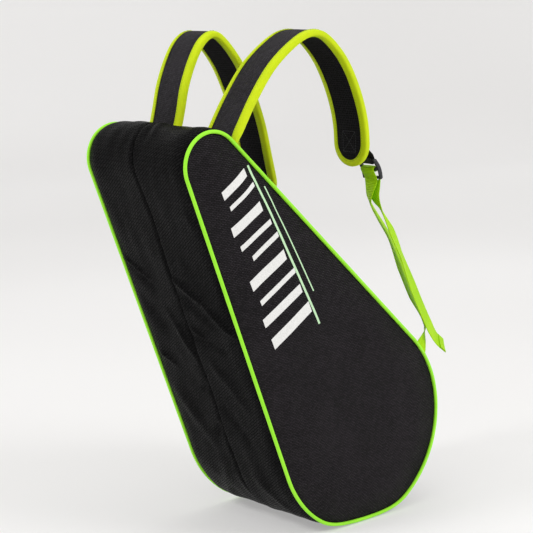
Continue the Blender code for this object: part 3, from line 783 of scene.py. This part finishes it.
def smooth_line(points, count):
    """Count + 1 evenly spaced points on a Catmull-Rom curve through the points."""
    points = [Vector(p) for p in points]
    points = [2 * points[0] - points[1]] + points + [2 * points[-1] - points[-2]]
    fine = []
    for a, b, c, d in zip(points, points[1:], points[2:], points[3:]):
        for i in range(24):
            u = i / 24
            fine.append(0.5 * (2 * b + (c - a) * u + (2 * a - 5 * b + 4 * c - d) * u * u
                               + (3 * b - a - 3 * c + d) * u ** 3))
    fine.append(points[-2])
    reach, even, j = reaches(fine), [], 0
    for i in range(count + 1):
        want = reach[-1] * i / count
        while j < len(reach) - 2 and reach[j + 1] < want:
            j += 1
        even.append(fine[j].lerp(fine[j + 1], (want - reach[j]) / (reach[j + 1] - reach[j])))
    return even, reach[-1]


class StrapCurve:
    """Maps a strap's flat pattern (along, across, out of its face) onto its curve."""

    def __init__(self, points, side):
        self.line, self.length = smooth_line([(x + WIDE_X, z) for x, z in points], 160)
        self.side = side

    def place(self, along, across, out):
        position = clamp(along / self.length) * (len(self.line) - 1)
        i = min(int(position), len(self.line) - 2)
        point = self.line[i].lerp(self.line[i + 1], position - i)
        tangent = (self.line[min(i + 3, len(self.line) - 1)] - self.line[max(i - 2, 0)]).normalized()
        point = point + out * Vector((-tangent.y, tangent.x))
        return Vector((point.x, self.side * STRAP_CENTRE + across, point.y))


STRAP_START = 0.002         # the visible strap starts here, in the seam
LAP = 0.0092                # the binding's reach over each face


def half_width(curve, along, edge):
    """Half the face's width, edge in from the binding; it narrows round the tip."""
    past = along - (curve.length - STRAP_HALF)
    radius = STRAP_HALF - edge
    if past <= 0:
        return radius
    return sqrt(max(radius * radius - past * past, 0.0012 ** 2))


def sewn_down(along):
    """The pad is squeezed thin where it is sewn into the seam."""
    return 0.55 + 0.45 * clamp((along - STRAP_START) / 0.02)


def pad_half(inset, along):
    """Half-thickness of the pad, inset in from the binding's outer edge."""
    share = max(1 - inset / STRAP_HALF, 0)
    return (0.0025 + 0.0019 * (1 - share ** 4)) * sewn_down(along)


def strap_inset(curve, along, across):
    """How far a place on the strap is in from the binding's outer edge."""
    past = max(along - (curve.length - STRAP_HALF), 0)
    return STRAP_HALF - sqrt(across * across + past * past)


def build_pad_face(name, curve, face, finish, slot, body, nodes, fill):
    """One face of the padded strap down to its middle surface."""
    edge = 0.0016
    straight = curve.length - STRAP_HALF
    radius = STRAP_HALF - edge
    steps = steps_between(STRAP_START, straight, 110)
    steps += [straight + radius * sin(radians(a)) for a in (*range(8, 81, 8), 86)]
    shares = [sin(pi / 2 * i / 10) for i in range(-10, 11)]
    points, marks, outward = [], [], []
    for s in steps:
        across = [share * half_width(curve, s, edge) for share in shares]
        row = []
        for w in across:
            thick = pad_half(strap_inset(curve, s, w), s)
            dimple = 0.00025 * ripple(s, w, 0.018, 15)
            row.append(curve.place(s, w, face * (thick + dimple)))
        points.append(row)
        marks.append(across)
        outward.append([curve.place(s, 0, face * 0.01) - curve.place(s, 0, 0)] * len(shares))
    sheet = Sheet(points, steps, marks, outward=outward)
    settle(layer(name, sheet, 0, 0.0022, finish), body, slot, *nodes, fill=fill)


def edge_path(curve, spacing):
    """Places along the strap's edge: from the seam, round the tip and back, with the way in."""
    straight = curve.length - STRAP_HALF
    run = int((straight - STRAP_START) / spacing)
    out = steps_between(STRAP_START, straight, run)[:-1]
    turns = steps_between(0, pi, int(pi * STRAP_HALF / spacing))
    path = [(s, -STRAP_HALF, 0.0, 1.0) for s in out]
    path += [(straight + STRAP_HALF * sin(a), -STRAP_HALF * cos(a), -sin(a), cos(a)) for a in turns]
    return path + [(s, STRAP_HALF, 0.0, -1.0) for s in reversed(out)]


def build_binding(name, curve, body, node):
    """Folded tape round the pad's edge, as one closed C-shaped sweep."""
    def pad_at(e):
        return pad_half(e, curve.length) + 0.0002
    thick = 0.0009
    rings = []
    for i, (s, w, ds, dw) in enumerate(edge_path(curve, 0.004)):
        lap = LAP + 0.0006 * ripple(i * 0.004, curve.side, 0.05, 17)
        seam = sewn_down(s)
        inner = [(lap, 1), (lap * 0.6, 1), (0.003, 1), (0.0014, 0.55)]
        outer = [(lap, -1), (lap * 0.6, -1), (0.0024, -1), (0.0008, -0.88), (0.0001, -0.5)]
        inner += [(e, -h) for e, h in inner[::-1]]
        outer += [(0, 0)] + [(e, -h) for e, h in outer[::-1]]
        ring = [curve.place(s + ds * e, w + dw * e, seam * h * pad_at(e)) for e, h in inner]
        ring += [curve.place(s + ds * e, w + dw * e, seam * h * (pad_at(e) + thick)) for e, h in outer]
        rings.append(ring)
    along = reaches([ring[len(inner) + 5] for ring in rings])      # along the tape's outer middle
    around = [0.001 * j for j in range(len(rings[0]) + 1)]
    settle(swept(name, rings, along, around, BINDING, sharp=60), body, "binding", node)


def stitch(here, ahead, above, length, width, height):
    """One thread bar at a point, from points ahead of and above it and its half sizes."""
    run, rise = (ahead - here).normalized(), (above - here).normalized()
    return here, run * length, run.cross(rise) * width, rise * height


def build_stitches(name, curve, body):
    """Running stitch near the binding's inner edge, on both faces."""
    spots = []
    inset = LAP - 0.0016
    for face in (-1, 1):
        for s, w, ds, dw in edge_path(curve, 0.0038):
            if s < STRAP_START + 0.004:
                continue
            thick = pad_half(inset, s) + 0.0012
            s, w = s + ds * inset, w + dw * inset
            here = curve.place(s, w, face * thick)
            ahead = curve.place(s + dw * 0.001, w - ds * 0.001, face * thick)
            above = curve.place(s, w, face * (thick + 0.001))
            spots.append(stitch(here, ahead, above, 0.0012, 0.00028, 0.00022))
    settle(boxes(name, spots, THREAD), body, "binding")


def build_box_stitch(name, curve, body):
    """Crossed box of stitches that holds the buckle's webbing, on the mesh face."""
    low, high, half = curve.length - 0.048, curve.length - 0.02, 0.012
    corners = ((low, -half), (low, half), (high, half), (high, -half))
    spots = []
    for a, b in ((0, 1), (1, 2), (2, 3), (3, 0), (0, 2), (1, 3)):
        start, way = Vector(corners[a]), Vector(corners[b]) - Vector(corners[a])
        count = int(way.length / 0.0032)
        for i in range(count):
            s, w = start + way * (i + 0.5) / count
            thick = pad_half(strap_inset(curve, s, w), s) + 0.0001
            here = curve.place(s, w, -thick)
            ahead = curve.place(s + way.x * 0.02, w + way.y * 0.02, -thick)
            above = curve.place(s, w, -thick - 0.001)
            spots.append(stitch(here, ahead, above, 0.001, 0.00035, 0.00025))
    settle(boxes(name, spots, DARK_THREAD), body, "strap_cloth")


# ---- Buckles and webbing ----
def case_point(x, depth, z, side):
    """Point beside the case: x from the wide end's centre, depth in from the panel."""
    return Vector((x + WIDE_X, side * (CASE_DEPTH / 2 - depth), z))


def ribbon(name, points, widths, sides, thick, finish):
    """Flat webbing with rounded edges and a slight cup across its width."""
    rings = []
    profile = (-1.0, -0.94, -0.5, 0.0, 0.5, 0.94, 1.0)
    for point, run, side, width in zip(points, runs(points), sides, widths):
        across = (side - side.dot(run) * run).normalized()
        out = run.cross(across)
        ring = []
        for face in (1, -1):
            for share in profile[::face]:
                lift = face * thick / 2 * (0.45 if abs(share) == 1 else 1)
                ring.append(point + across * width / 2 * share + out * (lift + 0.0006 * share * share))
        rings.append(ring)
    around = [0.004 * j for j in range(len(rings[0]) + 1)]
    return swept(name, rings, reaches(points), around, finish, sharp=70)


def twisted(line, turns):
    """Across-direction at each point of a webbing, from its turn about its own run."""
    sides = []
    for share, run in zip(steps_between(0, 1, len(line) - 1), runs(line)):
        level = (UP_Y - UP_Y.dot(run) * run).normalized()
        turn = radians(np.interp(share, *zip(*turns)))
        sides.append(cos(turn) * level + sin(turn) * run.cross(level))
    return sides


BUCKLE_WIDTH, BUCKLE_BAR, BUCKLE_SLOT, BUCKLE_RAIL = 0.034, 0.005, 0.008, 0.0035
BUCKLE_LENGTH = 3 * BUCKLE_BAR + 2 * BUCKLE_SLOT
BUCKLE_STAND = 0.019        # out from the strap's tip
WEBBING, WEBBING_WIDTH = 0.0013, 0.025
WRAP = 0.0011               # webbing's middle to a bar it passes
LIFT = 0.0018 + WRAP        # webbing's middle above the buckle's middle
TAB_T = 3.955               # station where the webbing is sewn into the seam

# Lower webbing from below the buckle to the seam, as (x, depth in from the panel, z).
FRONT_STRAND = ((0.052, 0.031, 0.431), (0.062, 0.03, 0.411), (0.084, 0.028, 0.377),
                (0.1, 0.0255, 0.339), (0.118, 0.022, 0.293), (0.131, 0.018, 0.264),
                (0.138, 0.016, 0.245))
REAR_STRAND = ((0.0, 0.031, 0.395), (0.028, 0.029, 0.368), (0.066, 0.026, 0.331),
               (0.1, 0.022, 0.292), (0.127, 0.018, 0.261), (0.138, 0.016, 0.245))

# Loose tail of the same webbing.
FRONT_TAIL = ((0.061, 0.03, 0.435), (0.071, 0.029, 0.414), (0.0905, 0.0265, 0.377),
              (0.1085, 0.024, 0.333), (0.1265, 0.021, 0.289), (0.1425, 0.018, 0.253),
              (0.156, 0.017, 0.23), (0.1715, 0.0165, 0.215))
REAR_TAIL = ((0.01, 0.031, 0.399), (0.036, 0.029, 0.375), (0.074, 0.026, 0.34),
             (0.109, 0.023, 0.302), (0.138, 0.02, 0.272), (0.153, 0.018, 0.249),
             (0.1648, 0.017, 0.2265), (0.1758, 0.017, 0.213))

# Turn of the webbing about its own run, in degrees, at shares of its length.
STRAND_TWIST = ((0, 0), (0.06, 4), (0.18, 40), (0.4, 46), (0.6, 62), (0.8, 56), (1, 38))
TAIL_TWIST = ((0, 0), (0.06, 6), (0.18, 42), (0.28, 60), (0.42, 48), (0.6, 60), (0.85, 60), (1, 48))


class BuckleFrame:
    """The buckle's own directions: down its length and out of its plane."""

    def __init__(self, curve, strand, side):
        tip = curve.place(curve.length, 0, 0)
        foot = case_point(*strand[0], side)
        self.down = Vector((foot.x - tip.x, 0, foot.z - tip.z)).normalized()
        self.out = Vector((-self.down.z, 0, self.down.x))
        self.top = Vector((tip.x, foot.y, tip.z)) + BUCKLE_STAND * self.out - 0.002 * self.down

    def place(self, along, rise, across=0.0):
        return self.top + along * self.down + rise * self.out + Vector((0, across, 0))


def oval_bar(name, centres, wide, tall):
    """Rounded plastic bar along a line; wide and tall are its two half-axis vectors."""
    sides, ends = 12, (0, len(centres) - 1)
    rings = []
    for i, centre in enumerate(centres):
        full = 0.55 if i in ends else 1.0
        rings.append(oval(centre, full * wide, full * tall, sides))
    along = [0.002 * i for i in range(len(rings))]
    return swept(name, rings, along, [0.001 * j for j in range(sides + 1)], PLASTIC)


def build_ladderlock(name, buckle):
    """Ladder-lock adjuster: two thick bowed side rails and three crossbars."""
    spots = [0, 0.03, 0.1, 0.25, 0.4, 0.5, 0.6, 0.75, 0.9, 0.97, 1]
    pieces = []
    for end, label in ((-1, "near"), (1, "far")):
        rail = [buckle.place(0.0004 + (BUCKLE_LENGTH - 0.0008) * s, 0.0026 * sin(pi * s),
                             end * (0.0154 + 0.0006 * sin(pi * s))) for s in spots]
        pieces.append(oval_bar(f"{name}_{label}_rail", rail, 0.0024 * UP_Y, 0.0031 * buckle.out))
    for i, label in enumerate(("top", "middle", "bottom")):
        along = BUCKLE_BAR / 2 + i * (BUCKLE_BAR + BUCKLE_SLOT)
        bar = [buckle.place(along, 0, 0.03 * (s - 0.5)) for s in spots]
        pieces.append(oval_bar(f"{name}_{label}_bar", bar, 0.0024 * buckle.down, 0.0017 * buckle.out))
    for piece in pieces:
        settle(piece, name, "buckle_plastic", name + "_buckle")


def build_loop(name, curve, buckle):
    """Short black webbing sewn on the strap's outer face and folded round the top bar."""
    line = [curve.place(curve.length - s, 0, 0.0056) for s in (0.056, 0.044, 0.034, 0.026)]
    line = [Vector((p.x, buckle.top.y, p.z)) for p in line]
    clear = BUCKLE_BAR + WRAP
    for along, rise in ((-0.005, LIFT), (clear - WRAP, LIFT), (clear, LIFT - WRAP),
                        (clear, WRAP - LIFT), (clear - WRAP, -LIFT), (-0.003, -LIFT)):
        line.append(buckle.place(along, rise))
    width = BUCKLE_WIDTH - 2 * BUCKLE_RAIL - 0.0006
    piece = ribbon(name + "_anchor", line, [width] * len(line), [UP_Y] * len(line), WEBBING, BLACK_WEB)
    settle(piece, name, "loop_webbing", name + "_buckle_loop")


def build_webbing(name, buckle, strand, side):
    """Adjusting webbing: over the middle bar, twisting down to the seam and fanned into it."""
    top = BUCKLE_BAR + BUCKLE_SLOT
    under = -LIFT - WEBBING - 0.0006
    wrap = ((top + BUCKLE_BAR + WRAP, -0.0006), (top + BUCKLE_BAR + WRAP, LIFT - WRAP),
            (top + BUCKLE_BAR, LIFT), (top, LIFT), (top - WRAP, LIFT - WRAP), (top - WRAP, WRAP - LIFT),
            (top - 0.0008, -LIFT - 0.0005), (top + 0.0011, under))
    low = [buckle.place(top + 0.005, under), buckle.place(BUCKLE_LENGTH, under)]
    line = smooth_line(low + [case_point(*p, side) for p in strand], 70)[0]
    sides = twisted(line, STRAND_TWIST)
    widths = [WEBBING_WIDTH] * 56 + [WEBBING_WIDTH * (1 - 0.045 * i) for i in range(1, 16)]

    # The last stretch turns along the seam and widens into it.
    seam = rim_point(TAB_T, 0.0005, side * (CASE_DEPTH / 2 - 0.001))
    edge = rim_normal(TAB_T).cross(UP_Y)
    if edge.dot(sides[-1]) < 0:
        edge = -edge
    end, last_side, last_width = line[-1], sides[-1], widths[-1]
    for i in range(1, 15):
        share = i / 14
        bow = 0.004 * sin(pi * share) * rim_normal(TAB_T)
        line.append(end.lerp(seam, share) + bow)
        sides.append((last_side * (1 - ease(share)) + edge * ease(share)).normalized())
        widths.append(last_width + (WEBBING_WIDTH - last_width) * share ** 1.3)

    # It starts folded round the middle bar.
    head = [buckle.place(along, rise) for along, rise in wrap]
    line = head + line
    sides = [UP_Y] * len(head) + sides
    widths = [WEBBING_WIDTH] * len(head) + widths
    piece = ribbon(name + "_adjuster", line, widths, sides, WEBBING, WEBBING_CLOTH)
    body = ("shell", name, seam, buckle.place(BUCKLE_LENGTH, under))
    settle(piece, body, "webbing", name + "_webbing", name + "_seam_tab")


def build_tail(name, buckle, tail, side):
    """Loose end of the webbing, twisting beside the strand, with a stitched double hem."""
    start = buckle.place(BUCKLE_LENGTH + 0.0038, -0.001)
    # It hangs clear of the strand, so the two don't cross when the strap swings.
    aside = Vector((-0.0105 if side < 0 else 0.005, 0.0135 * side, 0))
    course = [case_point(*p, side) + min(0.45 + 0.55 * i, 1) * aside for i, p in enumerate(tail)]
    line = smooth_line([start] + course, 70)[0]
    sides = twisted(line, TAIL_TWIST)
    widths = [WEBBING_WIDTH * (0.62 + 0.38 * min(abs(i / 70 - 0.2) / 0.2, 1)) for i in range(71)]
    body = name.replace("strap", "tail")
    piece = ribbon(name + "_loose_end", line, widths, sides, WEBBING, WEBBING_CLOTH)
    settle(piece, body, "webbing", name + "_tail")
    run = (line[-1] - line[-4]).normalized()
    out = run.cross(sides[-1])
    fold = [line[-1] - run * 0.012 * (1 - i / 4) + out * 0.0012 for i in range(5)]
    fold.append(line[-1] + run * 0.0012 + out * 0.0004)
    hem = ribbon(name + "_hem", fold, [WEBBING_WIDTH * 1.02] * 6, [sides[-1]] * 6, 0.0012, WEBBING_CLOTH)
    settle(hem, body, "webbing")


def build_root(name, side):
    """Reinforcing patch stitched to the spine round the strap's end."""
    middle, half = side * STRAP_CENTRE, STRAP_HALF + 0.001
    depths = steps_between(middle - half, middle + half, 16)
    marks = [distance_at(0.928) + 0.0028 * i for i in range(8)]
    points = [[rim_point(station_at(d), -spine_out(station_at(d), y) - 0.0011, y) for y in depths]
              for d in marks]
    patch = layer(name + "_patch", Sheet(points, marks, depths), 0, 0.0009, STRAP)
    settle(patch, "shell", "strap_cloth", name + "_root")


def build_strap(name, side, points, strand, tail):
    curve = StrapCurve(points, side)
    root = curve.place(0, 0, 0)
    flex = ("shell", name, root, root + 0.03 * rim_normal(0.5))
    build_pad_face(name + "_top_face", curve, 1, STRAP, "strap_cloth", flex,
                   (name + "_cover", name + "_pad"), 0.6)
    build_pad_face(name + "_underside", curve, -1, MESH, "air_mesh", flex, (name + "_mesh",), 0.5)
    build_binding(name + "_edge_tape", curve, flex, name + "_binding")
    build_stitches(name + "_tape_stitches", curve, flex)
    build_box_stitch(name + "_box_stitches", curve, name)
    build_root(name, side)
    buckle = BuckleFrame(curve, strand, side)
    build_ladderlock(name, buckle)
    build_loop(name, curve, buckle)
    build_webbing(name, buckle, strand, side)
    build_tail(name, buckle, tail, side)


# ---- Print on the front panel ----
BAND_START = Vector((-0.18, 0.478))        # upper left corner of the printed band, (x, z)
BAND_RUN = Vector((0.36, -0.93)).normalized()
BAND_ACROSS = Vector((-BAND_RUN.y, BAND_RUN.x))
# White bars as (along the band, width along it, from across, to across, slant).
BARS = ((0.004, 0.011, 0.0, 0.046, -0.01), (0.026, 0.006, 0.004, 0.052, -0.01),
        (0.052, 0.013, -0.004, 0.05, -0.01), (0.08, 0.007, 0.0, 0.056, -0.01),
        (0.1, 0.007, 0.012, 0.06, -0.01), (0.128, 0.014, -0.004, 0.06, -0.012),
        (0.158, 0.007, 0.0, 0.066, -0.012), (0.182, 0.012, -0.006, 0.066, -0.012),
        (0.212, 0.015, -0.004, 0.07, -0.014))
# Thin lines as (from along, across, to along, across, width).
MINT_LINES = ((-0.006, 0.052, 0.235, 0.074, 0.0032), (0.03, 0.066, 0.19, 0.082, 0.0018))


def front_surface(x, z):
    """Point on the front panel's cloth, well inside its seam."""
    depth = min((rim_point(t, 0, 0) - Vector((x, 0, z))).dot(rim_normal(t)) for t in (0.5, 2.5))
    return Vector((x, -(CASE_DEPTH / 2 + panel_height(depth, x, z, 3) + 0.00022), z))


def print_patch(name, corners, finish):
    """Thin ink on the panel over a four-cornered shape given in the band's coordinates."""
    a, b, c, d = [Vector(p) for p in corners]
    cell = 0.004
    rows, cols = max(int((b - a).length / cell), 3), max(int((d - a).length / cell), 2)
    points = []
    for i in range(rows + 1):
        row = []
        for j in range(cols + 1):
            spot = a.lerp(b, i / rows).lerp(d.lerp(c, i / rows), j / cols)
            place = BAND_START + spot.x * BAND_RUN + spot.y * BAND_ACROSS
            row.append(front_surface(place.x, place.y))
        points.append(row)
    sheet = Sheet(points, [cell * i for i in range(rows + 1)], [cell * j for j in range(cols + 1)])
    settle(layer(name, sheet, 0, 0.0002, finish), "lid", "panel_cloth")


def build_print():
    for number, (near, width, low, high, slant) in enumerate(BARS):
        far = near + width
        corners = ((near, low), (near + slant, high), (far + slant, high), (far, low))
        print_patch(f"print_bar_{number}", corners, WHITE_INK)
    for number, (a0, b0, a1, b1, width) in enumerate(MINT_LINES):
        corners = ((a0, b0), (a1, b1), (a1, b1 + width), (a0, b0 + width))
        print_patch(f"print_line_{number}", corners, MINT_INK)


# ---- Assembly ----
def build_case():
    build_panel(-1, "front_panel", "lid")
    build_panel(1, "rear_panel", "shell")
    build_piping(-1, "front_piping", "lid")
    build_piping(1, "rear_piping", "shell")
    build_gusset(-1, "front_gusset", "lid", flap_edge, lambda t: ZIP_Y - ZIP_GAP)
    build_shaded_flap_hem()
    build_gusset(1, "rear_gusset", "shell", rear_edge, lambda t: flap_edge(t) + ZIP_GAP)
    build_spine()
    build_zip(-1, "lid", "front")
    build_zip(1, "shell", "rear")
    build_zip_metal("zip_head_stop", "zip_top_stop", 0.0004, "shell")
    build_zip_metal("zip_foot_stop", "zip_bottom_stop", 0.0004, "shell")
    build_zip_metal("zip_runner", "zip_slider", 0.0006, "slider")
    build_zip_metal("zip_puller", "zip_pull", 0.0005, "slider")
    build_strap("front_strap", -1, FRONT_STRAP, FRONT_STRAND, FRONT_TAIL)
    build_strap("rear_strap", 1, REAR_STRAP, REAR_STRAND, REAR_TAIL)
    build_print()


# ---- Studio, camera and lights ----
def build_backdrop():
    """Pale studio floor that sweeps up into a round wall on every side."""
    flat, turn, height, segments = 4.2, 1.4, 4.5, 64
    bend = [radians(a) for a in range(10, 91, 10)]
    profile = [(flat * i / 4, 0) for i in range(5)]
    profile += [(flat + turn * sin(a), turn * (1 - cos(a))) for a in bend] + [(flat + turn, height)]
    bm = bmesh.new()
    verts = [bm.verts.new((radius, 0, level)) for radius, level in profile]
    edges = [bm.edges.new(pair) for pair in zip(verts, verts[1:])]
    bmesh.ops.spin(bm, geom=verts + edges, axis=(0, 0, 1), angle=2 * pi, steps=segments)
    bmesh.ops.remove_doubles(bm, verts=bm.verts, dist=0.0001)
    bmesh.ops.recalc_face_normals(bm, faces=bm.faces)
    mesh = bpy.data.meshes.new("backdrop")
    bm.to_mesh(mesh)
    bm.free()
    mesh.shade_smooth()
    paper = Finish("studio_paper", 0.9, specular=0.0)
    cloud = paper.noise(paper.place(), 0.7, 1)
    paper.colour(paper.ramp(cloud, (0.55, 0.545, 0.54), (0.6, 0.597, 0.594), 0.3, 0.7))
    paper.shader.inputs["Emission Color"].default_value = (1.0, 0.992, 0.985, 1)
    paper.shader.inputs["Emission Strength"].default_value = 0.33
    mesh.materials.append(paper.material)
    add_object("backdrop", mesh)


def add_light(name, place, target, size, power):
    lamp = bpy.data.lights.new(name, "AREA")
    lamp.shape, lamp.size, lamp.energy = "DISK", size, power
    made = add_object(name, lamp)
    made.location = place
    made.rotation_euler = (Vector(target) - Vector(place)).to_track_quat("-Z", "Y").to_euler()


def add_camera():
    """Camera on the front left of the case, a little above it."""
    azimuth, elevation, roll = radians(-39.97), radians(10.05), radians(-1.97)
    distance, target = 2.274, Vector((-0.0215, 0, 0.3487))
    turn = (Matrix.Rotation(azimuth, 4, "Z") @ Matrix.Rotation(pi / 2 - elevation, 4, "X")
            @ Matrix.Rotation(roll, 4, "Z"))
    lens = bpy.data.cameras.new("camera")
    lens.lens, lens.sensor_width = 114.8, 36.0
    made = add_object("camera", lens)
    made.matrix_world = Matrix.Translation(target) @ turn @ Matrix.Translation((0, 0, distance))
    bpy.context.scene.camera = made


def light_scene():
    world = bpy.data.worlds.new("studio")
    world.use_nodes = True
    sky = world.node_tree.nodes["Background"].inputs
    sky["Color"].default_value = (1.0, 0.99, 0.98, 1)
    sky["Strength"].default_value = 0.64
    bpy.context.scene.world = world
    add_light("key", (1.0, -2.6, 2.2), (0, 0, 0.25), 1.4, 40)
    add_light("side", (-2.2, 0.4, 2.2), (0, 0, 0.3), 0.8, 24)
    add_light("wall", (0.4, 0.2, 3.0), (0.8, 1.0, 0.4), 2.0, 9)
    bpy.context.scene.view_settings.view_transform = "Standard"


build_case()
build_backdrop()
light_scene()
add_camera()
